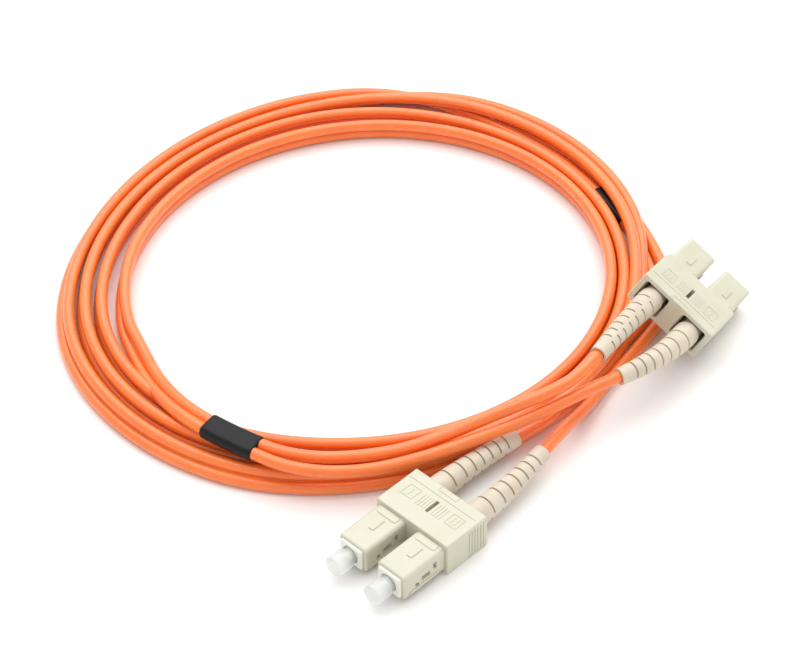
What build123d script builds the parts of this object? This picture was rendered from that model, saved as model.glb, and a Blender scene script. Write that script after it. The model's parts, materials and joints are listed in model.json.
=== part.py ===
from build123d import *
from math import cos, pi, radians, sin, tan
import os

# Duplex fiber optic patch cord with SC plugs, wound into a flat coil. Millimetres, +Z up.
# Origin: centre of the near duplex clip's underside, on the surface that the cord lies on.
# +X: the way the near plugs go into their sockets. +Y: across the near pair.
# Each plug is drawn about its own axis, X towards the ferrule tip and x = 0 at the clip's centre,
# then moved to its place in the duplex pair, and the pair is moved to its place in the coil.

# ---- the duplex pair -----------------------------------------------------------------------
pair_pitch = 12.7           # between the two plug axes, as duplex sockets are spaced
slide_gap = 0.10            # running gap between the grip housing and the plug frame
seat_gap = 0.03             # gap where a fixed piece sits in another

# ---- grip housing, the outer sleeve that is pulled to release the plug ---------------------
housing_wide = 9.0
housing_high = 7.4
housing_front = 20.4
housing_rear = -4.6
housing_corner = 1.15
housing_edge = 0.60         # rounding of the front end
grip_travel = 2.0           # how far the housings and clip slide back
shoulder_gap = 0.3          # from the clip to the raised shoulder in front of it
shoulder_long = 2.2
shoulder_high = 0.25
shoulder_inset = 1.3        # from the housing's sides
shoulder_bevel = 0.2
key_rear = 10.3             # the raised mark on top: a rib along X with a foot across one end
key_front = 14.4
key_aside = 0.85            # the rib's distance from the plug's middle
key_foot = 1.5
key_wide = 0.55
key_high = 0.25
ledge_high = 0.6            # the ledge along the bottom of each side
ledge_out = 0.3

# ---- plug frame, the white square body that the socket latches on --------------------------
frame_wide = 7.2
frame_high = 6.0
frame_front = 21.2
frame_rear = 2.6
frame_corner = 0.5
frame_bore = 4.8

# ---- ferrule, flange, spring and fibre -----------------------------------------------------
ferrule_d = 2.5
ferrule_length = 10.5
ferrule_seat = 1.65         # how deep the ferrule is pressed into its flange
flange_gap = 0.20           # round the flange, in the plug frame's bore
flange_length = 3.0
tail_gap = 0.30             # round the flange's tail, inside the spring
tail_length = 4.0
ferrule_travel = 1.0        # how far the spring lets the ferrule back up
wire_d = 0.45
spring_gap = 0.25           # round the spring, in the plug frame's bore
spring_turns = 6
spring_open = 3.4           # the free space between the turns, all together
buffer_d = 0.9
buffer_gap = 0.05
fibre_d = 0.25
fibre_gap = 0.025           # round the bare fibre, in the ferrule

# ---- crimp body and crimp sleeve -----------------------------------------------------------
crimp_seat = 4.6            # where the spring pushes on the crimp body
collar_gap = 0.20           # round the collar, inside the grip housing
collar_length = 1.8
barrel_d = 3.9
barrel_rear = -5.0
crimp_bore = 1.6
barrel_groove = 0.15        # depth of the grooves that the crimp bites into
sleeve_wall = 0.35
sleeve_short = 0.5          # the crimp sleeve stops this far behind the boot's front end
sleeve_rear = -9.0

# ---- boot ----------------------------------------------------------------------------------
neck_gap = 0.15             # round the boot's neck, inside the grip housing
root_gap = 0.40             # from the boot's root to the clip's rear opening
boot_tip_wall = 0.65
collar_clear = 0.2          # from the crimp body's collar to the boot's front end
neck_spare = 0.4            # from the slid-back grip housing to the boot's root
boot_straight = -10.0       # the boot is straight from its front end to here, then it bends
boot_tail = 25.0            # length of the part that bends
boot_gap = 0.05
slot_wide = 0.55
slot_deep = 0.75
slot_pairs = 7

# ---- dust cap ------------------------------------------------------------------------------
cap_gap = 0.15              # round the cap's tube, in the plug frame's bore
cap_head_d = 5.4
cap_clear = 0.3             # from the plug frame to the cap's head, with the ferrule backed up
cap_inset = 4.0             # how far the cap's tube reaches into the plug frame
cap_reach = 4.0             # from the ferrule's tip to the cap's front end
cap_air = 1.2               # from the ferrule's tip to the bottom of the cap's hole
cap_fit = 0.03

# ---- duplex clip ---------------------------------------------------------------------------
clip_long = 13.8
clip_wall = 1.15            # above and below the housings
clip_side = 0.95            # outside the housings
clip_corner = 0.6
clip_edge = 0.3
lip_inset = 0.5             # how far the rear lip reaches in behind each housing's side
line_inset = 3.0            # from the clip's rear edge to the shallow line across its top
line_wide = 0.25
line_deep = 0.12
mark_high = 0.12            # the raised marks on top

# ---- sizes that follow from the ones above -------------------------------------------------
capillary_d = fibre_d + 2 * fibre_gap
flange_d = frame_bore - 2 * flange_gap
spring_d = frame_bore - 2 * spring_gap
tail_d = spring_d - 2 * wire_d - 2 * tail_gap
cap_tube_d = frame_bore - 2 * cap_gap
flange_rear = crimp_seat + wire_d * (spring_turns + 1) + spring_open
flange_front = flange_rear + flange_length
ferrule_rear = flange_front - ferrule_seat
ferrule_tip = ferrule_rear + ferrule_length
cap_front = ferrule_tip + cap_reach
cap_head_rear = frame_front + ferrule_travel + cap_clear
bore_high = frame_high + 2 * slide_gap
collar_d = bore_high - 2 * collar_gap
boot_neck_d = bore_high - 2 * neck_gap
boot_root_d = housing_high - 2 * root_gap
boot_front = frame_rear - collar_length - collar_clear
clip_high = housing_high + 2 * clip_wall
clip_wide = pair_pitch + housing_wide + 2 * clip_side
axis_height = clip_high / 2

# ---- zip cord, heat-shrink sleeves and coil ------------------------------------------------
cord_d = 3.2
boot_tip_d = cord_d + 2 * boot_tip_wall
cord_gap = 0.04             # between the two jackets of the zip cord
shrink_wall = 0.45
coil_high = 7.0
coil_edge = 1.4
leg_straight = 8.0          # each leg runs this far straight out of its boot

# The outline that the wound turns take up, seen from above: they spread at the left and the
# back and are squeezed together at the front, where the legs cross them.
coil_outside = [
    (30, -80), (28, -58), (16, -37), (-4, -22), (-30, -13), (-62, -11), (-92, -15), (-117, -27),
    (-133, -50), (-141, -82), (-133, -113), (-112, -139), (-82, -154), (-48, -156), (-15, -146),
    (15, -123),
]
coil_inside = [
    (11, -82), (10, -62), (-1, -43), (-22, -28), (-48, -23), (-78, -25), (-102, -36),
    (-116, -58), (-119, -85), (-109, -114), (-82, -133), (-50, -139), (-18, -128), (4, -105),
]

# ---- heat-shrink sleeves, where the zip cord splits into two legs: centre line ends, the
# first one on the side of the legs
near_shrink = ((-116, -38, 9.2), (-120, -53, 9.2))
far_shrink = ((14.9, -45.3, 9.2), (17.9, -60.7, 9.2))

# ---- the legs, from the boots to the sleeves and on into the coil --------------------------
near_a_leg = [(-58, -6.5, 2.0), (-71, -8.4, 1.7), (-85, -10, 1.7), (-97, -12.6, 1.7),
              (-106, -18, 2.4), (-111.5, -27, 5.5)]
near_b_leg = [(-58, -0.5, 2.4), (-71, -3.8, 1.7), (-85, -6, 1.7), (-98, -8.8, 1.7),
              (-109, -14.5, 2.4), (-115, -25, 5.5)]
far_a_leg = [(-46, 0.9, 12.9), (-37, -2.6, 11.4), (-28, -6.6, 10.2), (-19, -10.6, 9.4),
             (-10, -14.7, 9.1), (0, -20, 9.1), (8.5, -27.5, 9.2), (14, -36, 9.2)]
far_b_leg = [(-45, -1.0, 16.5), (-37, -5.2, 14.4), (-29, -9.8, 12.2), (-20, -14.2, 10.4),
             (-11, -18.6, 9.4), (-2.5, -24.4, 9.1), (5, -31, 9.2), (10.2, -38, 9.2)]
near_tail = [(-125, -64, 8), (-129, -76, 5)]
far_tail = [(17.5, -73, 7.6), (14, -86, 4.5), (9, -98, 2.6)]

# ---- where the far pair lies: its clip leans on the coil, nose down ------------------------
far_spot = (-96, -2)
far_heading = -168
far_dip = 10
far_roll = 27

# ---- how each boot's tail bends, in degrees: towards the pair's middle, and downwards ------
near_a_bend = (9, 0)
near_b_bend = (9, -5)
far_a_bend = (20, 18)
far_b_bend = (4, 12)


# ---- helpers, drawn about the plug axis ----------------------------------------------------
def rod(rear, front, diameter):
    """A round bar along X from rear to front."""
    middle = Pos((rear + front) / 2, 0, 0) * Rot(0, 90, 0)
    return middle * Cylinder(diameter / 2, front - rear)


def pipe(rear, front, outer_d, inner_d):
    """A round tube along X from rear to front."""
    return rod(rear, front, outer_d) - rod(rear, front, inner_d)


def bar(rear, front, wide, high, corner):
    """A rectangular bar along X with its four long edges rounded."""
    profile = Plane.YZ.offset(rear) * RectangleRounded(wide, high, corner)
    return extrude(profile, front - rear)


def block(low, high):
    """A box between two opposite corners."""
    size = [b - a for a, b in zip(low, high)]
    middle = [(a + b) / 2 for a, b in zip(low, high)]
    return Pos(*middle) * Box(*size)


# ---- pieces of one plug --------------------------------------------------------------------
def grip_housing(key_turned):
    """The outer sleeve: a rounded square tube with side windows, ledges and a raised shoulder."""
    shell = bar(housing_rear, housing_front, housing_wide, housing_high, housing_corner)
    shell = fillet(shell.faces().sort_by(Axis.X)[-1].edges(), housing_edge)
    shell -= bar(
        housing_rear - 1, housing_front + 1,
        frame_wide + 2 * slide_gap, bore_high, frame_corner + slide_gap,
    )
    half_wide = housing_wide / 2
    half_high = housing_high / 2
    windows = [(9.6, 10.8, -0.4, 1.6), (11.8, 14.6, -1.2, 0.2), (15.6, 16.8, -1.8, -0.6)]
    for rear, front, low, high in windows:
        shell -= block((rear, -half_wide - 1, low), (front, half_wide + 1, high))
    ledge_top = housing_corner + ledge_high - half_high
    for side in (-1, 1):
        inner = side * (half_wide - 0.1)
        outer = side * (half_wide + ledge_out)
        shell += block((key_rear - 1, min(inner, outer), ledge_top - ledge_high),
                       (housing_front - 1.6, max(inner, outer), ledge_top))
    shoulder_rear = clip_long / 2 + shoulder_gap
    shoulder = block((shoulder_rear, shoulder_inset - half_wide, half_high - 0.1),
                     (shoulder_rear + shoulder_long, half_wide - shoulder_inset,
                      half_high + shoulder_high))
    shoulder = fillet(shoulder.edges().filter_by(Axis.Z), shoulder_inset / 2)
    shoulder = chamfer(shoulder.faces().sort_by(Axis.Z)[-1].edges(), shoulder_bevel)
    return shell + shoulder + raised_key(key_turned)


def raised_key(turned):
    """The mark on a housing's top: a thin rib with a foot, which may be turned end for end."""
    low = housing_high / 2 - 0.1
    top = housing_high / 2 + key_high
    rib = block((key_rear, key_aside - key_wide, low), (key_front, key_aside, top))
    foot = block((key_front - key_wide, key_aside - key_foot, low), (key_front, key_aside, top))
    key = rib + foot
    key = fillet(key.edges().filter_by(Axis.Z), key_wide * 0.4)
    if not turned:
        return key
    middle = (key_rear + key_front) / 2
    return Pos(middle, 0, 0) * Rot(0, 0, 180) * Pos(-middle, 0, 0) * key


def plug_frame():
    """The inner square body, bored for the ferrule, with the notches that a socket latches in."""
    body = bar(frame_rear, frame_front, frame_wide, frame_high, frame_corner)
    body = chamfer(body.faces().sort_by(Axis.X)[-1].edges(), 0.3)
    body -= rod(frame_rear - 1, frame_front + 1, frame_bore)
    half_wide = frame_wide / 2
    for side in (-1, 1):
        notch = block((12.4, 0, -1.2), (13.9, 0.5, 1.2))
        body -= Pos(0, side * half_wide - (0.5 if side > 0 else 0), 0) * notch
    return body


def ferrule():
    """The ceramic ferrule, with a chamfered tip and a capillary for the bare fibre."""
    body = rod(ferrule_rear, ferrule_tip, ferrule_d)
    body = chamfer(body.faces().sort_by(Axis.X)[-1].edges(), 0.4)
    return body - rod(ferrule_rear - 1, ferrule_tip + 1, capillary_d)


def ferrule_flange():
    """The metal flange pressed on the ferrule: a notched collar and a tail inside the spring."""
    body = rod(flange_rear, flange_front, flange_d)
    body += rod(flange_rear - tail_length, flange_rear, tail_d)
    for turn in range(4):
        key_way = block((flange_rear - 1, flange_d / 2 - 0.45, -0.4),
                        (flange_front + 1, flange_d, 0.4))
        body -= Rot(90 * turn, 0, 0) * key_way
    body -= rod(ferrule_rear, flange_front + 1, ferrule_d)
    return body - rod(flange_rear - tail_length - 1, flange_front, buffer_d + 2 * buffer_gap)


def ferrule_spring():
    """The helical spring between the crimp body and the flange."""
    height = flange_rear - crimp_seat - wire_d - 0.04
    mean_radius = (spring_d - wire_d) / 2
    path = Helix(pitch=height / spring_turns, height=height, radius=mean_radius)
    wire = sweep(Plane(path @ 0, z_dir=path % 0) * Circle(wire_d / 2), path)
    return Pos(crimp_seat + wire_d / 2 + 0.02, 0, 0) * Rot(0, 90, 0) * wire


def fibre():
    """The buffered fibre behind the ferrule and the bare fibre through it."""
    buffered = rod(barrel_rear + ferrule_travel + 0.2, ferrule_rear, buffer_d)
    return buffered + rod(ferrule_rear, ferrule_tip, fibre_d)


def crimp_body():
    """The rear body: a spigot in the plug frame, a collar behind it and a barrel for the crimp."""
    body = rod(frame_rear, crimp_seat, frame_bore - 2 * seat_gap)
    body += rod(frame_rear - collar_length, frame_rear, collar_d)
    body += rod(barrel_rear, frame_rear - collar_length, barrel_d)
    for step in range(4):
        groove = barrel_rear + 0.9 + 1.1 * step
        body -= pipe(groove, groove + 0.35, barrel_d + 1, barrel_d - 2 * barrel_groove)
    return body - rod(barrel_rear - 1, crimp_seat + 1, crimp_bore)


def crimp_sleeve():
    """The metal sleeve crimped over the barrel and the end of the cord's jacket."""
    barrel_bore = barrel_d + 2 * seat_gap
    jacket_bore = cord_d + 2 * seat_gap
    front = boot_front - sleeve_short
    body = pipe(barrel_rear, front, barrel_bore + 2 * sleeve_wall, barrel_bore)
    return body + pipe(sleeve_rear, barrel_rear, barrel_bore + 2 * sleeve_wall, jacket_bore)


def boot_axis(bend_in, bend_down):
    """The boot tail's centre line: an arc that bends towards +Y and down, by these degrees."""
    turn = radians((bend_in ** 2 + bend_down ** 2) ** 0.5)
    radius = boot_tail / turn
    aside = Vector(0, bend_in, -bend_down).normalized()
    start = Vector(boot_straight, 0, 0)
    end = start + Vector(-radius * sin(turn), 0, 0) + aside * radius * (1 - cos(turn))
    return TangentArc(start, end, tangent=(-1, 0, 0))


def boot(bend_in, bend_down):
    """The strain relief: a tapered tube that bends, with staggered pairs of slots round it."""
    axis = boot_axis(bend_in, bend_down)
    stations = 5
    rings = []
    for step in range(stations):
        share = step / (stations - 1)
        diameter = boot_root_d + (boot_tip_d - boot_root_d) * share
        rings.append(Plane(axis @ share, z_dir=axis % share) * Circle(diameter / 2))
    root_front = housing_rear - grip_travel - neck_spare
    body = rod(root_front, boot_front, boot_neck_d) + rod(boot_straight, root_front, boot_root_d)
    body += loft(rings)
    sleeve_d = barrel_d + 2 * (seat_gap + sleeve_wall + boot_gap)
    body -= rod(sleeve_rear - 0.3, boot_front + 1, sleeve_d)
    cord_hole = cord_d + 2 * boot_gap
    body -= rod(boot_straight, sleeve_rear, cord_hole)
    body -= sweep(Plane(axis @ 0, z_dir=axis % 0) * Circle(cord_hole / 2), axis)
    for pair in range(slot_pairs):
        share = 0.06 + 0.86 * (pair / slot_pairs) ** 0.85
        diameter = boot_root_d + (boot_tip_d - boot_root_d) * share
        ring_plane = Plane(axis @ share, z_dir=axis % share)
        for side in (-1, 1):
            ring = Cylinder(diameter, slot_wide) - Cylinder(diameter / 2 - slot_deep, slot_wide)
            wedge = Box(4 * diameter, 2 * diameter, slot_wide)
            half = Pos(0, side * (diameter + 0.35), 0) * wedge
            shift = Location((0, 0, side * boot_tail * 0.022))
            body -= ring_plane.location * shift * (ring & half)
    return body


def dust_cap():
    """The soft cap: a tube that grips the ferrule and a wider domed head."""
    inner_end = frame_front - cap_inset
    body = rod(inner_end, cap_front, cap_tube_d)
    head = rod(cap_head_rear, cap_front, cap_head_d)
    head = fillet(head.faces().sort_by(Axis.X)[-1].edges(), 0.8)
    body += fillet(head.faces().sort_by(Axis.X)[0].edges(), 0.4)
    return body - rod(inner_end - 1, ferrule_tip + cap_air, ferrule_d + 2 * cap_fit)


# ---- pieces of one duplex clip, about the pair's middle at the height of the plug axes -----
def clip_half(is_top):
    """One half of the clip that holds the two grip housings side by side, split at mid height."""
    half_long = clip_long / 2
    half_high = clip_high / 2
    whole = bar(-half_long, half_long, clip_wide, clip_high, clip_corner)
    whole = fillet(whole.edges().filter_by(Axis.Z) + whole.edges().filter_by(Axis.Y), clip_edge)
    low, high = (0, half_high) if is_top else (-half_high, 0)
    body = whole & block((-half_long - 1, -clip_wide, low), (half_long + 1, clip_wide, high))
    for side in (-1, 1):
        seat = bar(housing_rear - seat_gap, half_long + 1, housing_wide + 2 * seat_gap,
                   housing_high + 2 * seat_gap, housing_corner + seat_gap)
        mouth = bar(-half_long - 1, half_long, housing_wide - 2 * lip_inset, housing_high, 0.9)
        body -= Pos(0, side * pair_pitch / 2, 0) * (seat + mouth)
        for rib in range(6):
            place = -half_long + 1.2 + rib
            edge = clip_high / 2 - 0.9
            groove = block((place, -0.15, max(low, -edge)), (place + 0.4, 0.15, min(high, edge)))
            body -= Pos(0, side * clip_wide / 2, 0) * groove
    tongue = Vector(3.2, 0.8, 2.2)
    if not is_top:
        return body + block((-tongue.X, -tongue.Y, -0.1), (tongue.X, tongue.Y, tongue.Z))
    pocket = tongue + Vector(0.1, 0.1, 0.1)
    body -= block((-pocket.X, -pocket.Y, 0), (pocket.X, pocket.Y, pocket.Z))
    body -= block((-2.4, -0.5, 0), (2.0, 0.5, clip_high))
    line = line_inset - half_long
    body -= block((line, 1 - clip_wide / 2, half_high - line_deep),
                  (line + line_wide, clip_wide / 2 - 1, half_high + 1))
    return body + clip_top_marks()


def clip_top_marks():
    """Raised marks on the clip: a framed bar for the first plug, two for the second, thumb ribs."""
    low = clip_high / 2 - 0.1
    top = clip_high / 2 + mark_high
    marks = Part()
    for bars, side in ((1, -1), (2, 1)):
        place = side * 7.2
        marks += block((-2.4, place - 1.9, low), (1.6, place + 1.9, top))
        marks -= block((-2.1, place - 1.6, low - 1), (1.3, place + 1.6, top + 1))
        for mark in range(bars):
            middle = place + (mark - (bars - 1) / 2) * 1.2
            marks += block((-1.5, middle - 0.25, low), (0.7, middle + 0.25, top))
        for rib in range(4):
            place = side * (1.3 + 0.85 * rib)
            marks += block((-2.2, place - 0.15, low), (1.8, place + 0.15, top))
    tab_rear = clip_edge - clip_long / 2
    tab = block((tab_rear, -3, low), (tab_rear + 1.4, 3, top))
    return marks + tab - block((tab_rear - 1, -2.7, low - 1), (tab_rear + 1.1, 2.7, top + 1))


# ---- places --------------------------------------------------------------------------------
def pair_location(spot, heading, dip, roll):
    """Where a duplex pair lies: its nose points along heading, tipped down by dip, and the
    pair is rolled about its own length until it stands on its lowest corner."""
    ahead = Vector(cos(radians(heading)) * cos(radians(dip)),
                   sin(radians(heading)) * cos(radians(dip)), -sin(radians(dip)))
    level = Plane(origin=(0, 0, 0), x_dir=ahead, z_dir=Vector(0, 0, 1) - ahead * ahead.Z)
    turned = level.location * Location((0, 0, 0), (roll, 0, 0))
    corners = [(x, y, -clip_high / 2) for x in (-clip_long / 2, clip_long / 2)
               for y in (-clip_wide / 2, clip_wide / 2)]
    corners += [(housing_front, y, -housing_high / 2) for y in
                (-(pair_pitch + housing_wide) / 2, (pair_pitch + housing_wide) / 2)]
    lowest = min((turned * Location(corner)).position.Z for corner in corners)
    return Location((spot[0], spot[1], -lowest)) * turned


near_pair = pair_location((0, 0), 0, 0, 0)
far_pair = pair_location(far_spot, far_heading, far_dip, far_roll)


# ---- cords ---------------------------------------------------------------------------------
def beside(line, side):
    """A sleeve's two end points, moved half a pitch of the zip cord to the left (1) or right."""
    start, end = Vector(*line[0]), Vector(*line[1])
    left = Vector(0, 0, 1).cross(end - start).normalized()
    offset = left * side * (cord_d + cord_gap) / 2
    return [start + offset, end + offset]


def cord_path(points):
    """Straight runs joined by arcs as large as their runs allow, and the list of their radii."""
    radii = []
    for before, corner, after in zip(points, points[1:], points[2:]):
        turn = radians((corner - before).get_angle(after - corner))
        shorter = min((corner - before).length, (after - corner).length)
        radii.append(0.45 * shorter / tan(turn / 2))
    return FilletPolyline(*points, radius=radii), radii


def leg(name, plug, bend, route, sleeve, side, tail):
    """One jacketed cord: straight and bent inside its boot, then along its route."""
    axis = plug * boot_axis(*bend)
    tip = axis @ 1
    inside = plug * rod(boot_straight, barrel_rear, cord_d)
    inside += sweep(Plane(axis @ 0, z_dir=axis % 0) * Circle(cord_d / 2), axis)
    points = [tip, tip + (axis % 1) * leg_straight]
    points += [Vector(*point) for point in route]
    points += beside(sleeve, side)
    shift = points[-1] - Vector(*sleeve[1])
    points += [Vector(*point) + shift for point in tail]
    path, radii = cord_path(points)
    tube = sweep(Plane(path @ 0, z_dir=path % 0) * Circle(cord_d / 2), path)
    wanted = path.length * pi * cord_d ** 2 / 4
    print(name, "points", [[round(v, 1) for v in point] for point in points])
    print(name, "length", round(path.length, 1), "volume ratio", round(tube.volume / wanted, 4),
          "radii", [round(radius) for radius in radii])
    return inside + tube


def shrink_sleeve(line):
    """The heat-shrink sleeve round the two jackets where the zip cord splits."""
    start, end = Vector(*line[0]), Vector(*line[1])
    wide = 2 * cord_d + cord_gap + 2 * shrink_wall
    high = cord_d + 2 * shrink_wall
    ends = Plane(origin=start, x_dir=Vector(0, 0, 1).cross(end - start), z_dir=end - start)
    outside = extrude(ends * RectangleRounded(wide, high, high * 0.46), (end - start).length)
    holes = Pos(-(cord_d + cord_gap) / 2, 0) * Circle(cord_d / 2)
    holes += Pos((cord_d + cord_gap) / 2, 0) * Circle(cord_d / 2)
    return outside - extrude(ends * holes, (end - start).length)


def coil():
    """The outer shape of the wound turns, one flat ring on the surface."""
    outline = make_face(Spline(*coil_outside, periodic=True))
    outline -= make_face(Spline(*coil_inside, periodic=True))
    ring = extrude(outline, coil_high)
    return chamfer(ring.edges().group_by(Axis.Z)[-1] + ring.edges().group_by(Axis.Z)[0], coil_edge)


# ---- build and write -----------------------------------------------------------------------
def plug_pieces(name, plug, bend, is_near):
    """The pieces of one plug, each moved to its place. Only the near plugs have dust caps."""
    drawn = {
        "grip_housing": grip_housing(key_turned=not is_near),
        "plug_frame": plug_frame(),
        "ferrule": ferrule(),
        "ferrule_flange": ferrule_flange(),
        "ferrule_spring": ferrule_spring(),
        "fibre": fibre(),
        "crimp_body": crimp_body(),
        "crimp_sleeve": crimp_sleeve(),
        "boot": boot(*bend),
    }
    if is_near:
        drawn["dust_cap"] = dust_cap()
    return {name + "_" + piece: plug * shape for piece, shape in drawn.items()}


def build():
    """Every piece of the patch cord, by its node name."""
    pieces = {"coil": coil()}
    pieces["near_shrink_sleeve"] = shrink_sleeve(near_shrink)
    pieces["far_shrink_sleeve"] = shrink_sleeve(far_shrink)
    legs = [
        ("near_a", near_pair, -1, near_a_bend, near_a_leg, near_shrink, 1, near_tail),
        ("near_b", near_pair, 1, near_b_bend, near_b_leg, near_shrink, -1, near_tail),
        ("far_a", far_pair, -1, far_a_bend, far_a_leg, far_shrink, 1, far_tail),
        ("far_b", far_pair, 1, far_b_bend, far_b_leg, far_shrink, -1, far_tail),
    ]
    for end, pair in (("near", near_pair), ("far", far_pair)):
        pieces[end + "_clip_top"] = pair * clip_half(True)
        pieces[end + "_clip_base"] = pair * clip_half(False)
    for name, pair, place, bend, route, sleeve, side, tail in legs:
        plug = pair * Location((0, place * pair_pitch / 2, 0))
        inward = (-place * bend[0], bend[1])
        pieces.update(plug_pieces(name, plug, inward, pair is near_pair))
        pieces[name + "_leg"] = leg(name, plug, inward, route, sleeve, side, tail)
    return pieces


os.makedirs("parts", exist_ok=True)
for node, shape in build().items():
    export_step(shape, "parts/" + node + ".step")
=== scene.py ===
# %% [markdown]
# # A duplex fiber patch cord, coiled
# The cord is two round orange jackets moulded side by side. Each end splits into two legs at a
# black heat-shrink sleeve, and each leg ends in a square push-pull plug. A beige clip holds the
# two plugs of an end side by side. The plugs, clips and boots have exact sizes and come from the
# CAD frame. What is soft is made here: the two jackets, the web between them and the sleeves.

# %% Load the frame
import json

import bpy
import numpy as np
from mathutils import Matrix, Vector


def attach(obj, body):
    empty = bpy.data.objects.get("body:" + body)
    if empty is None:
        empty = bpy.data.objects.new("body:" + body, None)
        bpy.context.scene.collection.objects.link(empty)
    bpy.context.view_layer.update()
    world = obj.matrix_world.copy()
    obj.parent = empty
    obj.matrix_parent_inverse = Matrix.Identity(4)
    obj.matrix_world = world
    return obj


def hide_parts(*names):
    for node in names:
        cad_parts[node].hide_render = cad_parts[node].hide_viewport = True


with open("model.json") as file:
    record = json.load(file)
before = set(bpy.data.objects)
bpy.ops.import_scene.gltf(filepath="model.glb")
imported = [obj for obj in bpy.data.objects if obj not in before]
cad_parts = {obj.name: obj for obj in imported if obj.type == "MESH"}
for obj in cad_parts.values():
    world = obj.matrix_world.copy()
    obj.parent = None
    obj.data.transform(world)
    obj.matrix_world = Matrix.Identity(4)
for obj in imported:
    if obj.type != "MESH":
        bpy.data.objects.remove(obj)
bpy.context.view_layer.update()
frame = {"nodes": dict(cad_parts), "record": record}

# %% [markdown]
# ## Units and the small helpers
# Blender works in metres and the cord is measured in millimetres, so lengths are written as a
# number of millimetres times mm. Colours are chosen as sRGB hex, the way a paint chart gives
# them, and the shader wants linear light, so one function converts them.

# %% Units, colours and nodes
mm = 0.001


def linear(hex_colour, alpha=1.0):
    """sRGB hex to linear RGBA: each channel c becomes c/12.92, or ((c+0.055)/1.055)^2.4 above 0.04."""
    channels = [int(hex_colour[start:start + 2], 16) / 255 for start in (1, 3, 5)]
    return [c / 12.92 if c <= 0.04045 else ((c + 0.055) / 1.055) ** 2.4 for c in channels] + [alpha]


def add(tree, kind, sockets=(), **settings):
    """Add one node, set its settings, and give each named socket a value or a link."""
    made = tree.nodes.new(kind)
    for name, value in settings.items():
        setattr(made, name, value)
    for name, value in dict(sockets).items():
        if isinstance(value, bpy.types.NodeSocket):
            tree.links.new(value, made.inputs[name])
        else:
            made.inputs[name].default_value = value
    return made


# %% [markdown]
# ## The camera
# A long lens, about half a metre away and above the near plugs' side, looks down across the
# coil. A long lens from afar keeps the coil's oval even, where a short one close by would swell
# its near side. Two directions are given, and the third follows from them.

# %% Camera
camera_place = Vector((260.1, 253.0, 391.1)) * mm
looking = Vector((-0.5238, -0.5287, -0.6680)).normalized()
camera_right = Vector((-0.7006, 0.7134, -0.0152)).normalized()
camera_up = camera_right.cross(looking)
lens_data = bpy.data.cameras.new("camera")
lens_data.lens = 99.0
lens_data.sensor_width = 36.0
lens_data.clip_start = 0.02
camera = bpy.data.objects.new("camera", lens_data)
turn = Matrix((camera_right, camera_up, -looking)).transposed()
camera.matrix_world = Matrix.Translation(camera_place) @ turn.to_4x4()
bpy.context.scene.collection.objects.link(camera)
bpy.context.scene.camera = camera
print("camera", round(camera_place.length, 3), "m from the origin, lens", lens_data.lens, "mm")

# %% [markdown]
# ## The cord's facts
# Each jacket is 3.2 mm across, and their middles are 3.24 mm apart. From the far sleeve to the
# near one the pair is wound a little over three and a half times, clockwise from above. Most of
# the way it stands on edge, one jacket over the other. The turns fan out on the -Y side, away
# from the plugs, and are squeezed together on the +Y side.
#
# One closed formula would give turns that are all alike, and loose turns never are. So a turn
# is described by its lane: how far out from the coil's inner edge the pair's middle runs, how
# high, and how far the pair is tipped from lying flat (0) to standing on edge (90).

# %% The lanes of the turns
cord_d = 3.2 * mm
pair_pitch = 3.24 * mm
clear = 0.02 * mm
coil_middle = np.array((-55.0, -78.0)) * mm

# degrees turned clockwise from the +X side, then out and up in mm, then tilt in degrees
lanes = np.array([
    (30, 1.6, 3.2, 60), (45, 1.6, 3.2, 80), (135, 2.0, 3.2, 75), (315, 2.0, 3.2, 85),
    (340, 4.5, 3.2, 80), (360, 7.2, 3.2, 75), (390, 7.9, 3.2, 75), (420, 7.0, 3.2, 75),
    (450, 7.6, 3.2, 75), (480, 8.8, 3.2, 75), (505, 8.2, 3.2, 75), (540, 5.6, 3.2, 85),
    (585, 5.3, 3.2, 85), (675, 6.8, 3.2, 85), (700, 9.5, 3.2, 80), (720, 11.8, 3.2, 75),
    (750, 12.4, 3.2, 70), (780, 11.6, 3.2, 75), (810, 12.0, 3.2, 75), (835, 13.2, 3.4, 70),
    (855, 14.6, 4.6, 45), (870, 16.0, 5.6, 15), (885, 15.2, 5.8, 5), (900, 13.4, 5.8, 5),
    (925, 11.9, 5.6, 12), (945, 9.0, 4.4, 55), (990, 8.7, 3.2, 90), (1020, 10.5, 3.0, 70),
    (1035, 12.6, 2.6, 45), (1055, 15.6, 2.4, 40), (1080, 16.9, 2.6, 45), (1110, 17.6, 2.8, 50),
    (1140, 15.6, 3.2, 60), (1170, 16.2, 3.2, 70), (1190, 17.8, 3.2, 75), (1215, 19.6, 3.2, 70),
    (1230, 18.2, 2.2, 20), (1243, 15.6, 1.8, 5), (1255, 12.9, 1.8, 0),
], dtype=float)
print(len(lanes), "places along the lanes, over", round((lanes[-1, 0] - lanes[0, 0]) / 360, 2), "turns")


# %% Control points of the turns
def inner_edge(bearing):
    """The coil's inner edge at a bearing: 64.4 mm, plus 0.9 times its sine, which shifts the
    edge to +Y, plus 1.3 times the cosine of twice it, which makes the edge oval along X."""
    return (64.4 + 0.9 * np.sin(bearing) + 1.3 * np.cos(2 * bearing)) * mm


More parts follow.
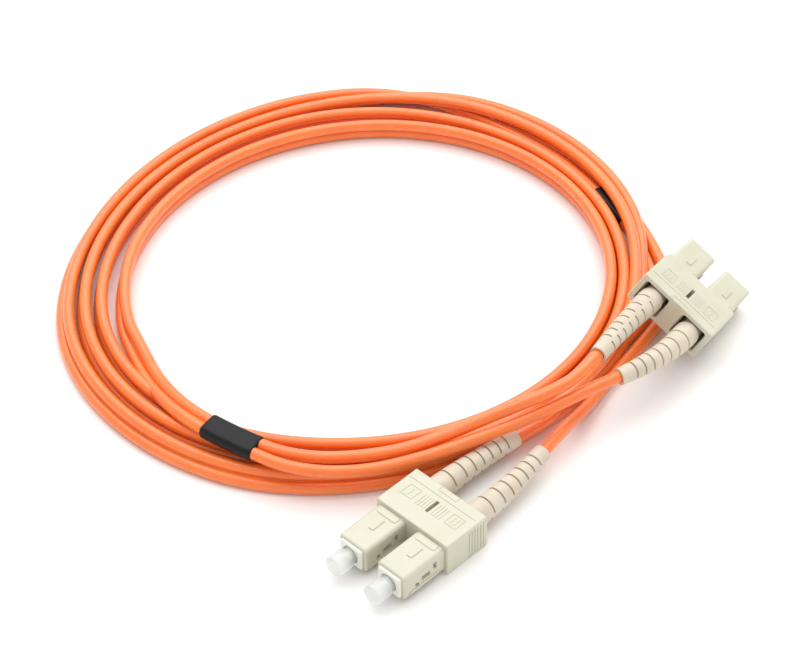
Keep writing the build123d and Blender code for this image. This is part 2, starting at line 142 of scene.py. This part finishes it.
def wound(side, first=30, last=1247, step=18):
    """Control points of one jacket's turns, 20 to a turn. Side is -1 for the inner one, 1 outer.

    The radius is the inner edge, plus the lane, plus side times half the pair's pitch times the
    cosine of the tilt. The height loses side times half the pitch times the sine of the tilt,
    and the pair is never lower than lying on the table. A quadratic spline cuts inside its
    control points by the cosine of half a step, and the radius is divided by that."""
    turned = np.arange(first, last, step, dtype=float)
    out, up, tilt = [np.interp(turned, lanes[:, 0], lanes[:, column]) for column in (1, 2, 3)]
    tilt = np.radians(tilt)
    bearing = np.radians(-turned)
    aside = side * pair_pitch / 2
    radius = (inner_edge(bearing) + out * mm + aside * np.cos(tilt)) / np.cos(np.radians(step / 2))
    flat = coil_middle + radius[:, None] * np.stack((np.cos(bearing), np.sin(bearing)), axis=1)
    height = np.maximum(up * mm, cord_d / 2 + clear + pair_pitch / 2 * np.sin(tilt))
    return np.column_stack((flat, height - aside * np.sin(tilt)))


print(len(wound(1)), "control points a jacket for the turns")

# %% [markdown]
# ## The legs
# Between a sleeve and the boots each jacket runs by itself, and no formula gives that: the
# points are listed, in millimetres, from the boot to the coil. The far legs come down
# from the raised far plugs and lie on the squeezed turns. The near legs run along the table,
# pass under the far plugs, and come round the outside of the coil.

# %% Leg routes
far_a_leg = np.array([
    (-68.1, 6.4, 13.0), (-54.7, 3.3, 13.6), (-46, 0.9, 12.9), (-37, -2.6, 11.2), (-28, -6.6, 9.8),
    (-19, -10.6, 8.8), (-10, -14.7, 8.3), (0, -20, 8.2), (8.5, -27.5, 8.3), (14, -36, 8.4),
    (16.5, -45, 8.5), (19.5, -60.4, 8.5), (19.1, -72.7, 7.3), (15.6, -85.7, 4.5),
    (10.6, -97.7, 2.6),
]) * mm
far_b_leg = np.array([
    (-67.1, -1.9, 17.9), (-53.4, 0.6, 17.5), (-45, -1.0, 16.5), (-37, -5.2, 14.4),
    (-29, -9.8, 12.0), (-20, -14.2, 9.8), (-11, -18.6, 8.6), (-2.5, -24.4, 8.2), (5, -31, 8.3),
    (10.2, -38, 8.4), (13.3, -45.6, 8.5), (16.3, -61, 8.5), (15.9, -73.3, 7.3),
    (12.4, -86.3, 5.0), (7.4, -98.3, 4.4),
]) * mm
near_a_leg = np.array([
    (-29.0, -5.4, 4.9), (-42.8, -3.1, 4.8), (-58, -6.5, 2.2), (-71, -8.4, 1.7), (-85, -10, 1.7),
    (-97, -12.6, 1.7), (-106.5, -18, 1.7), (-113.2, -27.2, 1.9), (-120.2, -38.3, 2.1),
    (-125.4, -53.2, 2.4), (-128.8, -64.7, 2.1), (-131.2, -76.3, 1.9),
]) * mm
near_b_leg = np.array([
    (-29.0, 5.4, 5.3), (-42.7, 3.1, 6.4), (-58, -0.5, 2.4), (-71, -3.8, 1.7), (-85, -6, 1.7),
    (-98, -8.8, 1.7), (-109, -14.8, 1.7), (-116.3, -25.2, 1.9), (-123.2, -37.0, 2.1),
    (-128.6, -52.3, 2.4), (-132.0, -64.0, 2.1), (-134.4, -76.0, 1.9),
]) * mm
print("leg points", len(far_a_leg), len(far_b_leg), len(near_a_leg), len(near_b_leg))

# %% [markdown]
# ## Two jackets as NURBS curves
# Each jacket is one open spline whose control points are the near leg, the turns and the far
# leg. A quadratic NURBS spline has no kinks, as a stiff cord has none, and it stays inside its
# control points. A Bezier curve would need two handles for each point to do the same. The
# spline's order and its use of the end points are set after the points are added, because set
# before, they would leave it at straight runs.

# %% Jackets
def line_curve(name, points, thickness=0.0):
    """A curve object of one open quadratic NURBS spline, round and closed if it has thickness."""
    data = bpy.data.curves.new(name, "CURVE")
    data.dimensions = "3D"
    data.resolution_u = 10
    data.bevel_depth = thickness / 2
    data.bevel_resolution = 6
    data.use_fill_caps = thickness > 0
    spline = data.splines.new("NURBS")
    spline.points.add(len(points) - 1)
    spline.points.foreach_set("co", np.column_stack((points, np.ones(len(points)))).ravel())
    spline.order_u = 3
    spline.use_endpoint_u = True
    spline.use_smooth = True
    made = bpy.data.objects.new(name, data)
    bpy.context.scene.collection.objects.link(made)
    return made


def read_line(points):
    """The smooth line that Blender draws through the control points, as an array of points."""
    bare = line_curve("bare_line", points)
    mesh = bpy.data.meshes.new_from_object(bare)
    line = np.empty(len(mesh.vertices) * 3)
    mesh.vertices.foreach_get("co", line)
    bpy.data.objects.remove(bare)
    return line.reshape(-1, 3)


def length_of(line):
    """The sum of the distances from each point of a line to the next."""
    return float(np.linalg.norm(np.diff(line, axis=0), axis=1).sum())


jacket_routes = {
    "jacket_near_a_far_b": np.vstack((near_a_leg, wound(-1)[::-1], far_b_leg[::-1])),
    "jacket_near_b_far_a": np.vstack((near_b_leg, wound(1)[::-1], far_a_leg[::-1])),
}
jackets = {name: line_curve(name, route, cord_d) for name, route in jacket_routes.items()}
jacket_lines = {name: read_line(route) for name, route in jacket_routes.items()}
for name, line in jacket_lines.items():
    print(name, "length", round(length_of(line), 3), "m, lowest", round(line[:, 2].min() / mm, 2))

# %% [markdown]
# ## Surfaces from numpy
# A grid of points becomes a mesh: rows run along the piece and columns round it. The quads are
# worked out as one array, and a fan of triangles round one point closes each end.

# %% Tube mesh
def tube_mesh(name, rings):
    """A closed skin over an array of rings (rows, columns, 3), with a fan of faces at each end.

    Face i, j joins ring i to ring i + 1 between columns j and j + 1, and the last column joins
    the first. The end points are the means of the end rings."""
    rows, columns, _ = rings.shape
    points = np.vstack((rings.reshape(-1, 3), rings[0].mean(axis=0), rings[-1].mean(axis=0)))
    row, column = np.mgrid[0:rows - 1, 0:columns]
    beside = (column + 1) % columns
    quads = np.stack((row * columns + column, row * columns + beside,
                      (row + 1) * columns + beside, (row + 1) * columns + column), axis=-1)
    around = np.arange(columns)
    after = (around + 1) % columns
    start = np.stack((after, around, np.full(columns, rows * columns)), axis=-1)
    last = (rows - 1) * columns
    end = np.stack((last + around, last + after, np.full(columns, rows * columns + 1)), axis=-1)
    mesh = bpy.data.meshes.new(name)
    faces = quads.reshape(-1, 4).tolist() + start.tolist() + end.tolist()
    mesh.from_pydata(points.tolist(), [], faces)
    mesh.polygons.foreach_set("use_smooth", np.ones(len(mesh.polygons), dtype=bool))
    mesh.update()
    made = bpy.data.objects.new(name, mesh)
    bpy.context.scene.collection.objects.link(made)
    return made


# %% [markdown]
# ## Heat-shrink sleeves and the web
# Where the pair splits, a black polyolefin sleeve is shrunk over both jackets. It takes the
# outline of a band pulled round two circles, sinks a little between them, and is drawn in at
# its two ends. From one sleeve to the other a thin web of the same orange plastic joins the
# jackets, as the die leaves it. The two jackets have the same number of control points, so equal
# places in their lines lie side by side, which gives both pieces a middle line and a sideways.

# %% Sleeves and web
inner_line = jacket_lines["jacket_near_a_far_b"]
outer_line = jacket_lines["jacket_near_b_far_a"]
pair_line = (inner_line + outer_line) / 2
shrink_wall = 0.45 * mm
sleeve_long = 15.5 * mm
end_taper = 0.4 * mm
deepest_sag = 0.25 * mm
web_thick = 1.1 * mm
web_sunk = 0.3 * mm


def pair_axes(one, two):
    """Middle line, half gap, and unit sideways and upward vectors of two lines side by side.

    Sideways runs from one to two, ahead along the middle, and upward is their cross product."""
    middle_line = (one + two) / 2
    gap = np.linalg.norm(two - one, axis=1)[:, None]
    aside = (two - one) / gap
    ahead = np.gradient(middle_line, axis=0)
    ahead /= np.linalg.norm(ahead, axis=1)[:, None]
    return middle_line[:, None], gap[:, None] / 2, aside[:, None], np.cross(ahead, aside)[:, None]


def sleeve(name, middle):
    """A band round both jackets, sleeve_long from end to end, about the point middle.

    The outline is half a circle round each jacket, joined by flats that sink by up to
    deepest_sag. A point whose cosine is past a third either way is on one jacket's half, and the
    points between cross over evenly. The wall grows from nothing to shrink_wall over end_taper
    at each end, as the square root of the distance."""
    along = np.concatenate(((0,), np.cumsum(np.linalg.norm(np.diff(pair_line, axis=0), axis=1))))
    along -= along[np.linalg.norm(pair_line - middle, axis=1).argmin()]
    # shares of half the length, close together where the ends are drawn in
    stops = np.array((-1, -0.995, -0.975, -0.94, -0.8, -0.5, 0, 0.5, 0.8, 0.94, 0.975, 0.995, 1))
    stops = stops * sleeve_long / 2
    one, two = [np.column_stack([np.interp(stops, along, line[:, axis]) for axis in range(3)])
                for line in (inner_line, outer_line)]
    middle_line, half_gap, aside, upward = pair_axes(one, two)
    wall = shrink_wall * np.clip((sleeve_long / 2 - np.abs(stops)) / end_taper, 0, 1) ** 0.5
    angle = np.linspace(0, 2 * np.pi, 56, endpoint=False)
    radius = (cord_d / 2 + clear + wall)[:, None, None]
    reach = np.cos(angle)[None, :, None]
    sag = deepest_sag * (1 - np.abs(reach) ** 0.5)
    shift = half_gap * np.clip(reach * 3, -1, 1)
    rings = (middle_line + aside * (shift + radius * reach)
             + upward * (radius - sag) * np.sin(angle)[None, :, None])
    return tube_mesh(name, rings)


def web(name, near_end, far_end):
    """A strip between the jackets from near_end to far_end.

    Its four corners stand half the web's thickness above and below the middle line, and sideways
    as far as the jackets' skins, plus web_sunk into each."""
    first, last = [np.linalg.norm(pair_line - end, axis=1).argmin() for end in (near_end, far_end)]
    middle_line, half_gap, aside, upward = pair_axes(inner_line[first:last], outer_line[first:last])
    half_wide = half_gap - cord_d / 2 + web_sunk
    corners = np.array(((-1, -1), (1, -1), (1, 1), (-1, 1)))[None]
    rings = (middle_line + aside * half_wide * corners[:, :, :1]
             + upward * web_thick / 2 * corners[:, :, 1:])
    return tube_mesh(name, rings)


near_split = np.array((-125.4, -48.7, 2.3)) * mm
far_split = np.array((16.4, -53.0, 8.5)) * mm
near_sleeve = sleeve("near_sleeve", near_split)
far_sleeve = sleeve("far_sleeve", far_split)
cord_web = web("cord_web", near_split, far_split)
print("sleeves and a web of", len(cord_web.data.polygons), "faces")

# %% [markdown]
# ## Plastics, metals and ceramics
# Most of the cord is moulded or extruded plastic. What tells them apart is colour, how wide
# the highlight is, and the fine surface left by the mould or the die. A material is built from
# two close shades mixed by a noise of a real size, and a bump from a finer noise. Image textures
# could do it too, but these pieces have no unwrapping, and a noise in space needs none.

# %% A finish with a grain
def finish(name, shades, roughness, patch, grain, relief, **constants):
    """A material of two hex shades in patches, with a grain, both sizes in metres, and a bump
    of that relief. The constants go straight on the shader's own sockets."""
    material = bpy.data.materials.new(name)
    material.use_nodes = True
    tree = material.node_tree
    shader = tree.nodes["Principled BSDF"]
    shader.inputs["Roughness"].default_value = roughness
    for socket, value in constants.items():
        shader.inputs[socket.replace("_", " ")].default_value = value
    place = add(tree, "ShaderNodeTexCoord")
    clouds = add(tree, "ShaderNodeTexNoise", {
        "Vector": place.outputs["Object"], "Scale": 1 / patch, "Detail": 3.0, "Roughness": 0.6})
    spread = add(tree, "ShaderNodeMapRange", {
        "Value": clouds.outputs["Fac"], "From Min": 0.35, "From Max": 0.65})
    colour = add(tree, "ShaderNodeMix", {
        "Factor": spread.outputs["Result"], "A": linear(shades[0]), "B": linear(shades[1])},
        data_type="RGBA")
    tree.links.new(colour.outputs["Result"], shader.inputs["Base Color"])
    fine = add(tree, "ShaderNodeTexNoise", {
        "Vector": place.outputs["Object"], "Scale": 1 / grain, "Detail": 2.0, "Roughness": 0.5})
    bump = add(tree, "ShaderNodeBump", {
        "Height": fine.outputs["Fac"], "Distance": relief, "Strength": 0.6})
    tree.links.new(bump.outputs["Normal"], shader.inputs["Normal"])
    print("finish", name)
    return material


# %% The finishes
# Extruded PVC: saturated orange, a soft wide highlight, and a little light let through, which
# warms the grooves between turns.
orange_pvc = finish("orange_pvc_extruded", ("#F97C22", "#F4741C"), 0.40, 14 * mm, 0.5 * mm,
                    0.02 * mm, Specular_IOR_Level=0.5, Coat_Weight=0.9, Coat_Roughness=0.34,
                    Subsurface_Weight=0.3, Subsurface_Radius=(1.0, 0.25, 0.05),
                    Subsurface_Scale=1.2 * mm)
# Moulded ABS: warm beige with a satin face.
beige_abs = finish("beige_abs_moulded", ("#D1CFBA", "#CDCAB4"), 0.38, 6 * mm, 0.25 * mm, 0.012 * mm)
# Moulded PBT: white, glossier than the beige shell.
white_pbt = finish("white_pbt_moulded", ("#ECEBE2", "#E6E5DB"), 0.30, 5 * mm, 0.25 * mm, 0.01 * mm)
# Thermoplastic elastomer: beige, slightly pink, matt.
boot_tpe = finish("boot_tpe_moulded", ("#D8CDB9", "#CFC3AE"), 0.52, 7 * mm, 0.2 * mm, 0.02 * mm)
# Polyethylene: milky, lets light through.
milky_pe = finish("cap_polyethylene_moulded", ("#FBFDFA", "#F7FAF7"), 0.28, 5 * mm, 0.3 * mm,
                  0.01 * mm, Transmission_Weight=0.5, IOR=1.51, Alpha=0.62)
# Polyolefin heat-shrink: black with a dull sheen and fine wrinkles.
black_shrink = finish("heat_shrink_polyolefin", ("#0F0E0E", "#0A0A0A"), 0.46, 4 * mm, 0.9 * mm,
                      0.09 * mm, Specular_IOR_Level=0.28)
# Zirconia: a polished white ceramic.
zirconia = finish("zirconia_polished", ("#F1EEE8", "#ECE8E1"), 0.12, 3 * mm, 0.2 * mm, 0.002 * mm)
# Nickel flashed brass, drawn spring wire and turned aluminium.
nickel = finish("nickel_on_brass_turned", ("#CFC8B4", "#C6BEA8"), 0.28, 2 * mm, 0.2 * mm,
                0.004 * mm, Metallic=1.0)
spring_wire = finish("spring_wire_drawn", ("#B9B9BB", "#AEAEB1"), 0.30, 2 * mm, 0.2 * mm,
                     0.004 * mm, Metallic=1.0)
crimp_alloy = finish("aluminium_crimped", ("#C4C5C8", "#B8B9BD"), 0.35, 3 * mm, 0.2 * mm,
                     0.006 * mm, Metallic=1.0)
# Acrylate buffer round the glass.
buffer_coat = finish("buffer_acrylate", ("#EDEDF1", "#E4E4EA"), 0.35, 3 * mm, 0.3 * mm, 0.005 * mm)

finishes = {
    "cord_jacket": orange_pvc,
    "grip_plastic": beige_abs,
    "frame_plastic": white_pbt,
    "boot_elastomer": boot_tpe,
    "cap_plastic": milky_pe,
    "shrink_tube": black_shrink,
    "ferrule_ceramic": zirconia,
    "flange_metal": nickel,
    "spring_steel": spring_wire,
    "crimp_metal": crimp_alloy,
    "fibre_buffer": buffer_coat,
}

# %% [markdown]
# ## Putting the finishes on
# The record says which slot each CAD node takes its finish from, so one loop covers all of
# them, and no node is left plain. The soft pieces name their slots one by one.

# %% Assign materials
def dress(piece, material):
    """Make material the piece's only one."""
    piece.data.materials.clear()
    piece.data.materials.append(material)


for part in frame["record"]["subparts"]:
    dress(frame["nodes"][part["node"]], finishes[part["material_slot"]])
for jacket in jackets.values():
    dress(jacket, orange_pvc)
for piece in (far_sleeve, near_sleeve):
    dress(piece, black_shrink)
dress(cord_web, orange_pvc)

# %% [markdown]
# ## What stands for what
# The jackets take the place of the CAD coil and legs, and the sleeves that of the CAD sleeves.
# All five soft pieces ride on the cable, which the plugs' housings, ferrules and caps slide on.

# %% Ride and replace
inner_jacket = jackets["jacket_near_a_far_b"]
outer_jacket = jackets["jacket_near_b_far_a"]
for piece in (inner_jacket, outer_jacket, near_sleeve, far_sleeve, cord_web):
    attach(piece, "cable")
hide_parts("coil", "near_a_leg", "far_b_leg")
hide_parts("coil", "near_b_leg", "far_a_leg")
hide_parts("near_shrink_sleeve")
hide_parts("far_shrink_sleeve")

# %% [markdown]
# ## Table and light
# The cord lies on a white sweep in very soft light: a bright surround fills every shadow, and
# one wide lamp overhead, a little behind the coil, gives the tops their brightness. A small lamp
# would draw hard shadows and a thin highlight along each turn.

# %% Stage
floor_mesh = bpy.data.meshes.new("floor")
half_floor = 3.0
floor_mesh.from_pydata([(-half_floor, -half_floor, 0), (half_floor, -half_floor, 0),
                        (half_floor, half_floor, 0), (-half_floor, half_floor, 0)],
                       [], [(0, 1, 2, 3)])
floor = bpy.data.objects.new("floor", floor_mesh)
bpy.context.scene.collection.objects.link(floor)
paper = bpy.data.materials.new("white_sweep_paper")
paper.use_nodes = True
paper_shader = paper.node_tree.nodes["Principled BSDF"]
paper_shader.inputs["Base Color"].default_value = linear("#F6F5F4")
paper_shader.inputs["Roughness"].default_value = 0.7
dress(floor, paper)

world = bpy.data.worlds.new("studio")
world.use_nodes = True
surround = world.node_tree.nodes["Background"]
surround.inputs["Color"].default_value = (1, 1, 1, 1)
surround.inputs["Strength"].default_value = 0.8
bpy.context.scene.world = world
bpy.context.scene.view_settings.view_transform = "Standard"
print("floor", 2 * half_floor, "m wide, surround", round(surround.inputs["Strength"].default_value, 2))

# %% The lamp
lamp_place = Vector((-0.38, -0.34, 1.0))
lamp_target = Vector((coil_middle[0], coil_middle[1], 0))
lamp_data = bpy.data.lights.new("overhead", "AREA")
lamp_data.size = 1.5
lamp_data.energy = 12.8
lamp = bpy.data.objects.new("overhead", lamp_data)
lamp.location = lamp_place
lamp.rotation_euler = (lamp_target - lamp_place).to_track_quat("-Z", "Y").to_euler()
bpy.context.scene.collection.objects.link(lamp)
print("lamp", lamp_data.size, "m wide,", lamp_data.energy, "W")
